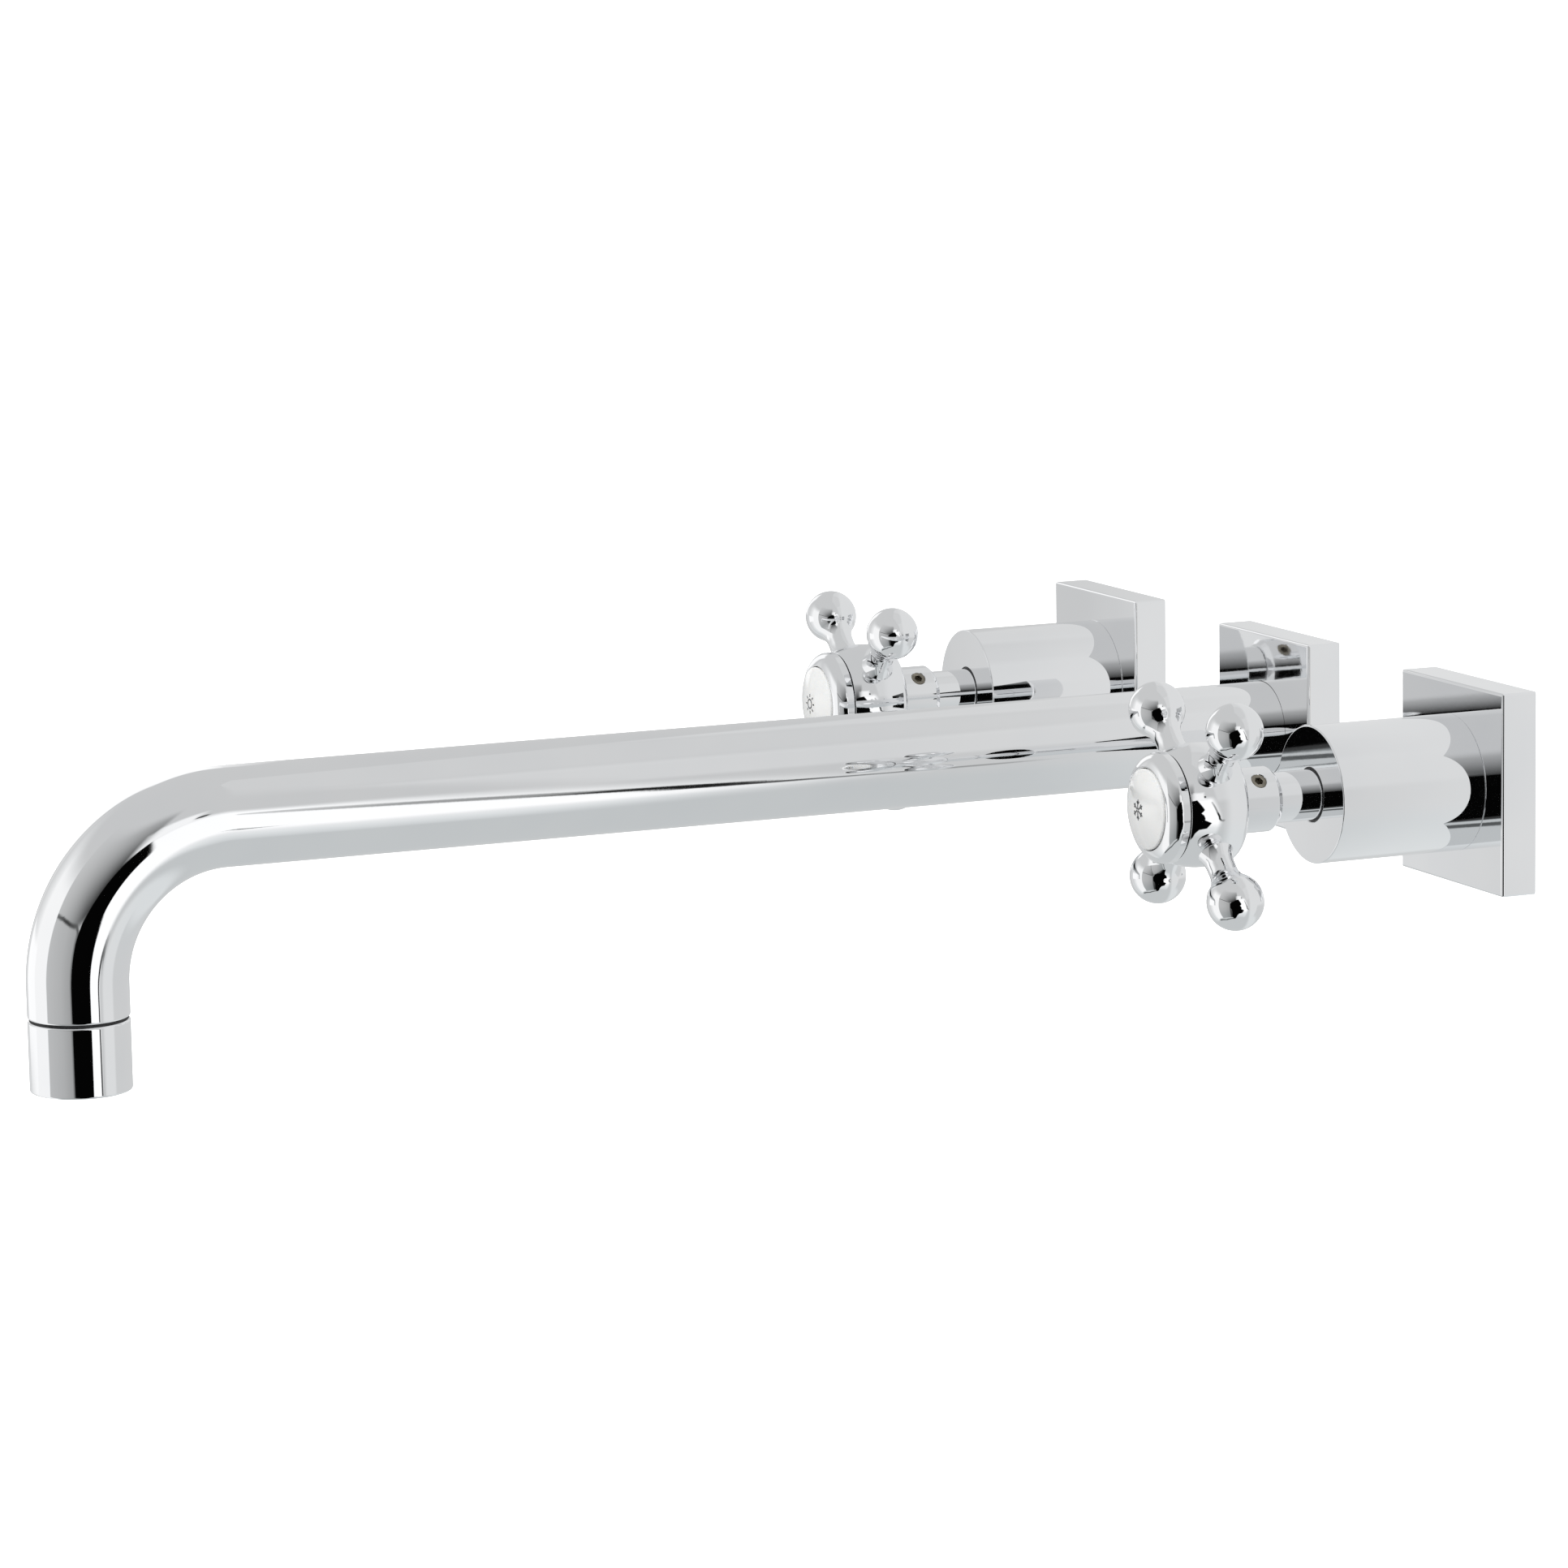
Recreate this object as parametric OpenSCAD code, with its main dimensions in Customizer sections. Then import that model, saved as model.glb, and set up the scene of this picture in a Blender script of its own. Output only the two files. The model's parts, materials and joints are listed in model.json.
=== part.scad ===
// Wall mounted bath faucet: a long tube spout between two cross handles, on three square plates.
// Millimetres. The wall is the plane Y = 0, the faucet stands out from it towards -Y, and +Z is up.
// The origin is the centre of the spout's plate on the wall. Every turned piece is drawn upright
// with its height as its reach from the wall, and from_wall() then lays it along -Y.

/* [Layout] */
// Distance from the spout to the axis of either handle
handle_spacing = 101.6; // [85:0.1:130]

/* [Wall plates] */
// Side of each square plate
plate_w = 51.2; // [48:0.1:70]
// Thickness of each plate
plate_t = 9.5; // [8.5:0.1:12]
// Thickness of the web that closes the front of the plate
plate_web = 3; // [2:0.1:4]
// Thickness of the rim that stands on the wall
plate_rim = 3; // [2:0.1:3.4]
// Radius of the plate's outer edges
plate_edge = 0.7; // [0.3:0.1:1.5]

/* [Spout] */
// Outer radius of the spout tube
tube_r = 12.76; // [12:0.01:14]
// Wall thickness of the spout tube
tube_wall = 1.4; // [1:0.1:1.8]
// Reach of the outlet's axis from the wall
outlet_reach = 339.5; // [200:0.5:400]
// Radius of the bend, along the tube's centre line
bend_r = 38.9; // [30:0.1:60]
// Drop of the tube's end, where the seam above the outlet ring starts
seam_drop = 47; // [45:0.1:70]
// Width of the open seam between the tube and the outlet ring
seam_gap = 0.6; // [0.2:0.05:0.8]
// Drop of the outlet's lower edge
tip_drop = 65.5; // [62:0.1:90]

/* [Sleeves and stems] */
// Outer radius of the sleeve that covers the cartridge
sleeve_r = 17.34; // [16.8:0.01:19]
// Reach of the sleeve's flat front face
sleeve_reach = 49.6; // [46:0.1:60]
// Outer radius of the round stem
stem_r = 6.35; // [6:0.01:6.6]
// Radius of the hole that the stem comes out of
stem_hole_r = 6.9; // [6.8:0.01:7.4]

/* [Handles] */
// Gap between the sleeve's front face and the handle's collar
stem_gap = 11.4; // [8:0.1:20]
// Outer radius of the collar
collar_r = 8.2; // [7.8:0.1:9]
// Length of the collar
collar_h = 12.6; // [11:0.1:16]
// Largest radius of the hub's barrel
hub_r = 15.5; // [14.5:0.1:18]
// Length of the hub's barrel
hub_h = 16.1; // [15:0.1:19]
// Distance of the arms' ball centres from the handle's axis
ball_offset = 29.7; // [27:0.1:40]
// Radius of the balls
ball_r = 7.15; // [6:0.05:9]
// Smallest radius of an arm
arm_r = 3.55; // [3:0.05:4]
// Radius of an arm's foot on the hub
arm_foot_r = 4.5; // [4.1:0.05:4.8]
// Outer radius of the bezel
bezel_r = 13.9; // [13.6:0.1:14.5]
// Length of the bezel in front of the hub
bezel_h = 5.6; // [5.4:0.1:8]
// Radius of the porcelain button
button_r = 10.1; // [9.6:0.1:10.4]
// Rise of the button's dome
button_rise = 2; // [1.5:0.1:4]
// Largest turn of each handle, in degrees
quarter_turn = 90; // [90:90]

/* [Inlets] */
// Radius of the G 1/2 thread inside the spout's inlet, at its crests
inlet_thread_r = 9.32; // [9.3:0.01:9.4]
// Radius of the G 1/2 thread outside each cartridge, at its crests
cartridge_thread_r = 10.478; // [10.4:0.001:10.5]

/* [Hidden] */
$fn = 72;
fit = 0.05;
tiny = 0.01;
chrome = "Gainsboro";
brass = "DarkGoldenrod";
rubber = "DimGray";
ceramic = "WhiteSmoke";
steel = "LightSlateGray";
plastic = "Ivory";

// Plates, and what lies behind them
cavity_w = plate_w - 2 * plate_rim;
web_back = plate_t - plate_web;
gasket_t = 1.5;
gasket_w = cavity_w - 0.8;
carrier_spigot_r = sleeve_r - 1.4;
carrier_flange_r = carrier_spigot_r + 3.5;
carrier_bore_r = 14;
carrier_front = plate_t + 8;

// Spout tube
tube_start = 1;
tube_bore_r = tube_r - tube_wall;
straight_reach = outlet_reach - bend_r;
adapter_back = -3;
adapter_front = 22;
inlet_depth = 14.5;
inlet_seal_t = 1.5;
inlet_seal_r = inlet_thread_r + 0.28;
waterway_r = 7;
plate_oring_r = 0.9;

// Outlet ring and what it holds
edge_break = 0.25;
outlet_spigot_h = 8;
aerator_r = tube_r - 1.8;
aerator_ledge_r = 8.8;
outlet_spigot_r = tube_bore_r - fit;
outlet_seal_r = tube_r - 0.45;
aerator_ledge_drop = seam_drop + 6;
aerator_washer_t = 1.5;
aerator_recess = 1.2;
cage_top_drop = aerator_ledge_drop + aerator_washer_t;
cage_drop = tip_drop - aerator_recess;
screen_t = 0.6;
screen_gap = 0.1;
cage_wall = 0.85;
cage_floor = 3;
screen_pitch = 2.6;
jet_r = 1.05;
jet_pitch = 3;

// Cartridge, with distances from the wall that are negative behind it
shell_back = -6.5;
seat_washer_r = 6;
seat_washer_t = 1.2;
window = [3, 8, 2.2];
nose_r = 8.6;
nose_bore_r = 7.95;
thread_back = 2;
thread_front = plate_t;
hex_flat = 24;
hex_r = hex_flat / 2 / cos(30);
hex_front = thread_front + 7;
neck_r = 9;
neck_front = 30;
cavity_front = 2.1;
spindle_r = 4;
spindle_bore_r = spindle_r + 0.06;
seat_hole_r = 4;
disc_r = nose_bore_r - fit;
fixed_disc_back = -5.7;
fixed_disc_t = 2.3;
moving_disc_back = fixed_disc_back + fixed_disc_t + 0.02;
moving_disc_t = 2.4;
moving_disc_front = moving_disc_back + moving_disc_t;
port_r = 2.1;
port_offset = 4.3;
driver_back = moving_disc_front + fit;
driver_front = 1.5;
driver_r = 6.4;
tang = [6, 2];
tang_depth = 1.2;
thrust_washer_t = 0.5;
stop_r = 5;
stop_angle = 60;
stop_play = 2;
oring_r = 0.57;
oring_places = [8, 12.5];
oring_mid_r = spindle_bore_r - 0.03 - oring_r;
clip_back = neck_front + 0.1;
clip_t = 1;
clip_r = 5.6;
clip_mouth = 60;
clip_groove_r = 3.1;
spline_teeth = 20;
spline_root_r = 3.5;
spline_tip_r = spindle_r - 0.1;
spline_back = clip_back + clip_t + 0.4;
spline_front = spline_back + 9;

// Stem extension and handle
sleeve_bore_r = sleeve_r - 1.34;
sleeve_front_t = 2.5;
guide_flange_r = 10;
guide_flange_t = 1.5;
guide_recess = 0.3;
extension_back = spline_back + 0.5;
collar_reach = sleeve_reach + stem_gap;
extension_neck_r = 5;
extension_front = collar_reach + 11.5;
screw_r = 1.95;
screw_head_r = 3.4;
screw_head_h = 4;
screw_hex_flat = 3;
screw_hex_depth = 2.2;
screw_seat = extension_front - 12;
barrel_back = collar_reach + collar_h;
barrel_front = barrel_back + hub_h;
arm_reach = barrel_back + 8.1;
hub_bore_r = extension_neck_r + fit;
hub_bore_front = extension_front + 0.5;
hub_recess_r = 11.55;
hub_recess_back = barrel_front - 5;
crown_r = 35;
nose_round = 19;
set_screw_r = 1.97;
set_screw_hex_flat = 2;
set_screw_hex_depth = 1.5;
set_screw_reach = collar_reach + 6;
set_screw_angle = 45;
arm_angles = [45, 135, 225, 315];
arm_foot = hub_r - 0.9;
arm_stud_r = 2.2;
arm_stud_depth = 6;
waist = 19;
bezel_front = barrel_front + bezel_h;
bezel_ledge = bezel_front - 5.5;
bezel_gap = 0.4;
bezel_round = 4.5;
bezel_tilt = 15.8;
button_gap = 0.15;
button_hole_r = button_r + button_gap;
button_oring_r = 0.5;
button_back = bezel_ledge + 2 * button_oring_r;
button_edge = bezel_front + 0.4;
dome_r = (button_r * button_r + button_rise * button_rise) / 2 / button_rise;

// Placing

// Lays a piece whose height is its reach from the wall along -Y; its own Y becomes +Z.
module from_wall() {
    rotate([90, 0, 0]) children();
}

module at_hot() {
    translate([-handle_spacing, 0, 0]) from_wall() children();
}

module at_cold() {
    translate([handle_spacing, 0, 0]) from_wall() children();
}

module at_outlet() {
    translate([0, -outlet_reach, 0]) children();
}

// General shapes

module rod(r, low, high) {
    translate([0, 0, low]) cylinder(r = r, h = high - low);
}

module ring(outer, inner, low, high) {
    difference() {
        rod(outer, low, high);
        rod(inner, low - 1, high + 1);
    }
}

module oring(mid_r, section_r, height) {
    translate([0, 0, height]) rotate_extrude() translate([mid_r, 0]) circle(r = section_r);
}

module rounded_rectangle(w, h, r) {
    square([w - 2 * r, h], center = true);
    square([w, h - 2 * r], center = true);
    for (x = [-1, 1], y = [-1, 1])
        translate([x * (w / 2 - r), y * (h / 2 - r)]) circle(r = r);
}

// A square slab on the wall with every outer edge but the wall's own rounded
module soft_slab(w, t, r) {
    intersection() {
        linear_extrude(t) rounded_rectangle(w, w, r);
        rotate([90, 0, 0]) linear_extrude(2 * w, center = true) rounded_rectangle(w, 2 * t, r);
        rotate([90, 0, 90]) linear_extrude(2 * w, center = true) rounded_rectangle(w, 2 * t, r);
    }
}

function spline_outline(root, tip, teeth) = [
    for (i = [0 : 2 * teeth - 1])
        let (a = i * 180 / teeth, r = i % 2 == 0 ? tip : root) [r * cos(a), r * sin(a)]
];

module wedge(r, from, to) {
    polygon([
        [0, 0],
        for (i = [0 : 4]) let (a = from + (to - from) * i / 4) [r * cos(a), r * sin(a)]
    ]);
}

// Wall plates

module plate(hole_r) {
    difference() {
        soft_slab(plate_w, plate_t, plate_edge);
        translate([-cavity_w / 2, -cavity_w / 2, -1]) cube([cavity_w, cavity_w, web_back + 1]);
        rod(hole_r, 0, plate_t + 1);
    }
}

module plate_gasket(hole_r) {
    difference() {
        translate([-gasket_w / 2, -gasket_w / 2, 0]) cube([gasket_w, gasket_w, gasket_t]);
        rod(hole_r, -1, gasket_t + 1);
    }
}

// The threaded bush that clamps the plate against the sleeve
module plate_carrier() {
    difference() {
        union() {
            rod(carrier_flange_r, web_back - 1.5, web_back);
            rod(carrier_spigot_r, web_back - tiny, carrier_front);
        }
        rod(carrier_bore_r, 0, carrier_front + 1);
    }
}

// Spout

// The tube's path as a solid of the given radius: straight out, round the bend, and down
module spout_path(r, start, end_drop) {
    from_wall() rod(r, start, straight_reach);
    translate([0, -straight_reach, -bend_r]) rotate([0, 0, 180]) rotate([0, -90, 0])
        rotate_extrude(angle = 90) translate([bend_r, 0]) circle(r = r);
    at_outlet() translate([0, 0, -end_drop]) cylinder(r = r, h = end_drop - bend_r);
}

module tube_body() {
    difference() {
        spout_path(tube_r, tube_start, seam_drop);
        spout_path(tube_bore_r, tube_start - 1, seam_drop + 1);
    }
}

module inlet_adapter() {
    difference() {
        union() {
            rod(tube_r - fit, adapter_back, tube_start);
            rod(tube_bore_r - fit, 0, adapter_front);
        }
        rod(inlet_thread_r, adapter_back - 1, inlet_depth + tiny);
        rod(inlet_seal_r, inlet_depth, inlet_depth + inlet_seal_t);
        rod(waterway_r, inlet_depth, adapter_front + 1);
    }
}

// The outlet ring, drawn with its height as its drop turned upside down
module outlet_ring() {
    difference() {
        union() {
            translate([0, 0, -tip_drop]) rotate_extrude() outlet_ring_outline();
            rod(outlet_spigot_r, -seam_drop - seam_gap - tiny, -seam_drop + outlet_spigot_h);
        }
        rod(aerator_ledge_r, -tip_drop - 1, -seam_drop + outlet_spigot_h + 1);
        rod(aerator_r, -tip_drop - 1, -aerator_ledge_drop);
    }
}

module outlet_ring_outline() {
    h = tip_drop - seam_drop - seam_gap;
    polygon([
        [0, 0],
        [tube_r - 2 * edge_break, 0],
        [tube_r, 2 * edge_break],
        [tube_r, h - edge_break],
        [tube_r - edge_break, h],
        [0, h]
    ]);
}

module screen() {
    rows = floor(aerator_r / screen_pitch);
    side = 2 * aerator_r;
    intersection() {
        rod(aerator_r - 1, -cage_top_drop - screen_t - 2 * screen_gap, -cage_top_drop);
        for (angle = [0, 90], i = [-rows : rows])
            rotate([0, 0, angle]) translate([0, i * screen_pitch, -cage_top_drop - screen_t / 2 - screen_gap])
                cube([side, screen_t, screen_t], center = true);
    }
}

// The cup that breaks the stream into jets
module cage() {
    difference() {
        rod(aerator_r - fit, -cage_drop, -cage_top_drop);
        rod(aerator_r - fit - cage_wall, -cage_drop + cage_floor, -cage_top_drop + 1);
        for (row = [-2 : 2], i = [0 : 4 - abs(row)])
            translate([(i - (4 - abs(row)) / 2) * jet_pitch, row * jet_pitch * sin(60), 0])
                rod(jet_r, -cage_drop - 1, -cage_top_drop + 1);
    }
}

// Sleeve and cartridge

module sleeve() {
    difference() {
        rod(sleeve_r, plate_t, sleeve_reach);
        rod(sleeve_bore_r, plate_t - 1, sleeve_reach - sleeve_front_t);
        rod(stem_hole_r, plate_t, sleeve_reach + 1);
    }
}

module stem_guide() {
    inside = sleeve_reach - sleeve_front_t;
    difference() {
        union() {
            rod(guide_flange_r, inside - guide_flange_t, inside);
            rod(stem_hole_r - fit, inside - tiny, sleeve_reach - guide_recess);
        }
        rod(stem_r + 0.07, plate_t, sleeve_reach + 1);
    }
}

module cartridge_shell() {
    difference() {
        union() {
            rod(nose_r, shell_back, thread_back + tiny);
            rod(cartridge_thread_r, thread_back, thread_front + tiny);
            translate([0, 0, thread_front]) cylinder(r = hex_r, h = hex_front - thread_front, $fn = 6);
            rod(neck_r, hex_front - tiny, neck_front);
        }
        rod(seat_hole_r, shell_back - 1, 0);
        rod(nose_bore_r, fixed_disc_back, driver_back);
        difference() {
            rod(nose_bore_r, driver_back - tiny, cavity_front);
            translate([0, 0, driver_back - 1]) linear_extrude(cavity_front) stop_rib();
        }
        for (side = [0, 180])
            rotate([0, 0, side]) translate([nose_bore_r - 1, -window[1] / 2, driver_back]) cube(window);
        rod(spindle_bore_r, 0, neck_front + 1);
    }
}

// The rib in the shell that stops the driver a quarter turn apart
module stop_rib() {
    difference() {
        wedge(nose_bore_r + 2, 90 - stop_angle / 2, 90 + stop_angle / 2);
        circle(r = stop_r);
    }
}

// What the driver leaves out, so that it turns between the two sides of the rib. turn is 1 where
// the handle opens anticlockwise, seen from the front, and -1 where it opens clockwise.
module stop_notch(turn) {
    from = turn > 0 ? 90 - stop_angle / 2 - quarter_turn : 90 - stop_angle / 2;
    difference() {
        wedge(2 * driver_r, from - stop_play, from + stop_angle + quarter_turn + stop_play);
        circle(r = stop_r - 0.2);
    }
}

module seat_washer() {
    ring(seat_washer_r, seat_hole_r, shell_back - seat_washer_t, shell_back);
}

module ports(angle, low, high) {
    for (side = [0, 180])
        rotate([0, 0, angle + side]) translate([port_offset, 0, 0]) rod(port_r, low, high);
}

module fixed_disc() {
    front = fixed_disc_back + fixed_disc_t;
    difference() {
        rod(disc_r, fixed_disc_back, front);
        ports(0, fixed_disc_back - 1, front + 1);
    }
}

module moving_disc() {
    difference() {
        rod(disc_r, moving_disc_back, moving_disc_front);
        ports(90, moving_disc_back - 1, moving_disc_front + 1);
        translate([0, 0, moving_disc_front])
            cube([tang[0] + 2 * fit, tang[1] + 2 * fit, 2 * (tang_depth + fit)], center = true);
    }
}

module spindle(turn) {
    difference() {
        union() {
            translate([-tang[0] / 2, -tang[1] / 2, moving_disc_front - tang_depth])
                cube([tang[0], tang[1], tang_depth + 1]);
            translate([0, 0, driver_back]) linear_extrude(driver_front - driver_back) difference() {
                circle(r = driver_r);
                stop_notch(turn);
            }
            rod(spindle_r, driver_front - tiny, clip_back);
            rod(clip_groove_r, clip_back - tiny, clip_back + clip_t + tiny);
            rod(spindle_r, clip_back + clip_t, spline_back);
            translate([0, 0, spline_back - tiny]) linear_extrude(spline_front - spline_back)
                polygon(spline_outline(spline_root_r, spline_tip_r, spline_teeth));
        }
        for (z = oring_places)
            ring(spindle_r + 1, oring_mid_r - oring_r, z - oring_r - 0.15, z + oring_r + 0.15);
        rod(screw_r + fit, spline_back - 6, spline_front + 1);
    }
}

module spindle_orings() {
    for (z = oring_places)
        oring(oring_mid_r, oring_r, z);
}

module thrust_washer() {
    ring(driver_r - 0.3, spindle_r + 0.2, driver_front + tiny, driver_front + thrust_washer_t);
}

module circlip() {
    translate([0, 0, clip_back]) linear_extrude(clip_t) difference() {
        circle(r = clip_r);
        circle(r = clip_groove_r + fit);
        wedge(2 * clip_r, -clip_mouth / 2, clip_mouth / 2);
    }
}

// Handle

module stem_extension() {
    difference() {
        union() {
            rod(stem_r, extension_back, collar_reach - 0.1);
            rod(extension_neck_r, collar_reach - 1, extension_front);
        }
        translate([0, 0, extension_back - 1]) linear_extrude(spline_front + 1.5 - extension_back)
            polygon(spline_outline(spline_root_r + 0.08, spline_tip_r + 0.08, spline_teeth));
        rod(screw_r + 0.2, extension_back, extension_front);
        rod(screw_head_r + 0.2, screw_seat, extension_front + 1);
    }
}

module extension_screw() {
    difference() {
        union() {
            rod(screw_r, spline_back - 5, screw_seat + tiny);
            rod(screw_head_r, screw_seat, screw_seat + screw_head_h);
        }
        translate([0, 0, screw_seat + screw_head_h - screw_hex_depth])
            cylinder(r = screw_hex_flat / 2 / cos(30), h = screw_head_h, $fn = 6);
    }
}

// Half outline of the hub's barrel: a back edge, a crown and a rounder nose, each tangent to the next
module barrel_outline() {
    back_round = 2.6;
    crown = [hub_r - crown_r, arm_reach];
    back_tilt = asin((barrel_back + back_round - arm_reach) / (crown_r - back_round));
    back = crown + (crown_r - back_round) * [cos(back_tilt), sin(back_tilt)];
    crown_back = arm_reach + crown_r * sin(back_tilt);
    translate([0, barrel_back]) square([back[0], hub_h]);
    arc_slice(back, back_round, barrel_back, crown_back);
    arc_slice(crown, crown_r, crown_back, arm_reach);
    arc_slice([hub_r - nose_round, arm_reach], nose_round, arm_reach, barrel_front);
}

// The part of a circle that lies between two heights, right of the axis
module arc_slice(middle, r, low, high) {
    intersection() {
        translate(middle) circle(r = r);
        translate([0, low]) square([2 * hub_r, high - low]);
    }
}

module collar_outline() {
    chamfer = [1.3, 1.5];
    neck_in = 0.35;
    neck_start = barrel_back - 0.5;
    polygon([
        [0, collar_reach],
        [collar_r - chamfer[0], collar_reach],
        [collar_r, collar_reach + chamfer[1]],
        [collar_r, neck_start],
        [collar_r - neck_in, neck_start + neck_in],
        [collar_r - neck_in, barrel_back + 1],
        [0, barrel_back + 1]
    ]);
}

module handle_hub() {
    difference() {
        union() {
            rotate_extrude() barrel_outline();
            rotate_extrude() collar_outline();
        }
        rod(hub_bore_r, collar_reach - 1, hub_bore_front);
        rod(hub_recess_r, hub_recess_back, barrel_front + 1);
        rotate([0, 0, set_screw_angle]) translate([0, 0, set_screw_reach]) rotate([0, 90, 0])
            rod(set_screw_r + 0.03, 0, 2 * collar_r);
        for (angle = arm_angles)
            at_arm(angle) {
                rod(arm_foot_r + fit, arm_foot, 2 * hub_r);
                rod(arm_stud_r + fit, arm_foot - arm_stud_depth - 0.5, 2 * hub_r);
            }
    }
}

// Lays a piece whose height is its distance from the handle's axis along an arm
module at_arm(angle) {
    translate([0, 0, arm_reach]) rotate([0, 0, angle]) rotate([0, 90, 0]) children();
}

// Half outline of an arm: stud, foot, waist, and a fillet that runs into the ball
module arm_outline() {
    fillet_r = 6;
    fillet_drop = sqrt(pow(ball_r + fillet_r, 2) - pow(arm_r + fillet_r, 2));
    fillet_start = ball_offset - fillet_drop;
    touch = ball_offset - fillet_drop * ball_r / (ball_r + fillet_r);
    touch_r = (arm_r + fillet_r) * ball_r / (ball_r + fillet_r);
    foot_lip = 0.5;
    foot_run = waist - arm_foot - foot_lip;
    foot_rise = arm_foot_r - arm_r;
    foot_curve_r = (foot_run * foot_run + foot_rise * foot_rise) / 2 / foot_rise;
    translate([0, arm_foot - arm_stud_depth]) square([arm_stud_r, arm_stud_depth + 1]);
    translate([0, arm_foot]) square([arm_foot_r, foot_lip]);
    difference() {
        translate([0, arm_foot + foot_lip - tiny]) square([arm_foot_r, foot_run + tiny]);
        translate([arm_r + foot_curve_r, waist]) circle(r = foot_curve_r);
    }
    translate([0, waist - 1]) square([arm_r, ball_offset - waist]);
    difference() {
        polygon([[0, fillet_start], [touch_r + fillet_r, fillet_start], [touch_r, touch], [0, touch]]);
        translate([arm_r + fillet_r, fillet_start]) circle(r = fillet_r);
    }
    intersection() {
        translate([0, ball_offset]) circle(r = ball_r);
        translate([0, ball_offset - 2 * ball_r]) square([2 * ball_r, 4 * ball_r]);
    }
}

module arm(number) {
    at_arm(arm_angles[number - 1]) rotate_extrude() arm_outline();
}

module set_screw() {
    tip = extension_neck_r + 0.02;
    head = collar_r - 0.3;
    rotate([0, 0, set_screw_angle]) translate([0, 0, set_screw_reach]) rotate([0, 90, 0])
        difference() {
            rod(set_screw_r, tip, head);
            translate([0, 0, head - set_screw_hex_depth])
                cylinder(r = set_screw_hex_flat / 2 / cos(30), h = collar_r, $fn = 6);
        }
}

// Half outline of the bezel: spigot, a short band, and a front that rounds over to the button's hole
module bezel_outline() {
    band_back = barrel_front + bezel_gap;
    middle_r = bezel_r - bezel_round * cos(bezel_tilt);
    round_run = button_hole_r - middle_r;
    middle = bezel_front - sqrt(bezel_round * bezel_round - round_run * round_run);
    band_front = middle + bezel_round * sin(bezel_tilt);
    translate([0, hub_recess_back + 0.2]) square([hub_recess_r - fit, barrel_front - hub_recess_back + 1]);
    translate([0, band_back]) square([bezel_r, band_front - band_back]);
    arc_slice([middle_r, middle], bezel_round, band_front, bezel_front);
}

module bezel() {
    difference() {
        rotate_extrude() bezel_outline();
        rod(button_hole_r, bezel_ledge, bezel_front + 1);
        rod(button_r - 1.5, hub_recess_back - 1, bezel_front + 1);
    }
}

module button() {
    intersection() {
        rod(button_r, button_back, button_edge + button_rise + 1);
        translate([0, 0, button_edge + button_rise - dome_r]) sphere(r = dome_r);
    }
}

module button_oring() {
    oring(button_r - 0.8, button_oring_r, bezel_ledge + button_oring_r);
}

// Sub-parts of the spout

module spout_plate() color(chrome) from_wall() plate(tube_r + 0.1);
module spout_plate_gasket() color(rubber) from_wall() plate_gasket(tube_r + 1.5);
module spout_plate_oring()
    color(rubber) from_wall() oring(tube_r + plate_oring_r, plate_oring_r, web_back - plate_oring_r);
module spout_tube() color(chrome) tube_body();
module spout_inlet_adapter() color(brass) from_wall() inlet_adapter();
module spout_inlet_seal()
    color(rubber) from_wall() ring(inlet_seal_r - fit, waterway_r, inlet_depth, inlet_depth + inlet_seal_t);
module outlet_seal()
    color(rubber) at_outlet() ring(outlet_seal_r, outlet_spigot_r + fit, -seam_drop - seam_gap, -seam_drop);
module aerator_housing() color(chrome) at_outlet() outlet_ring();
module aerator_washer()
    color(rubber) at_outlet() ring(aerator_r - fit, aerator_ledge_r, -cage_top_drop, -aerator_ledge_drop);
module aerator_screen() color(steel) at_outlet() screen();
module aerator_cage() color(plastic) at_outlet() cage();

// Sub-parts of the hot side

module hot_plate() color(chrome) at_hot() plate(carrier_spigot_r + fit);
module hot_plate_gasket() color(rubber) at_hot() plate_gasket(carrier_flange_r + 0.5);
module hot_plate_carrier() color(brass) at_hot() plate_carrier();
module hot_sleeve() color(chrome) at_hot() sleeve();
module hot_stem_guide() color(rubber) at_hot() stem_guide();
module hot_cartridge_shell() color(brass) at_hot() cartridge_shell();
module hot_seat_washer() color(rubber) at_hot() seat_washer();
module hot_fixed_disc() color(ceramic) at_hot() fixed_disc();
module hot_moving_disc() color(ceramic) at_hot() moving_disc();
module hot_spindle() color(brass) at_hot() spindle(-1);
module hot_spindle_orings() color(rubber) at_hot() spindle_orings();
module hot_thrust_washer() color(plastic) at_hot() thrust_washer();
module hot_circlip() color(steel) at_hot() circlip();
module hot_stem_extension() color(chrome) at_hot() stem_extension();
module hot_extension_screw() color(steel) at_hot() extension_screw();
module hot_handle_hub() color(chrome) at_hot() handle_hub();
module hot_arm_1() color(chrome) at_hot() arm(1);
module hot_arm_2() color(chrome) at_hot() arm(2);
module hot_arm_3() color(chrome) at_hot() arm(3);
module hot_arm_4() color(chrome) at_hot() arm(4);
module hot_set_screw() color(brass) at_hot() set_screw();
module hot_bezel() color(chrome) at_hot() bezel();
module hot_button() color(ceramic) at_hot() button();
module hot_button_oring() color(rubber) at_hot() button_oring();

// Sub-parts of the cold side

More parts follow.
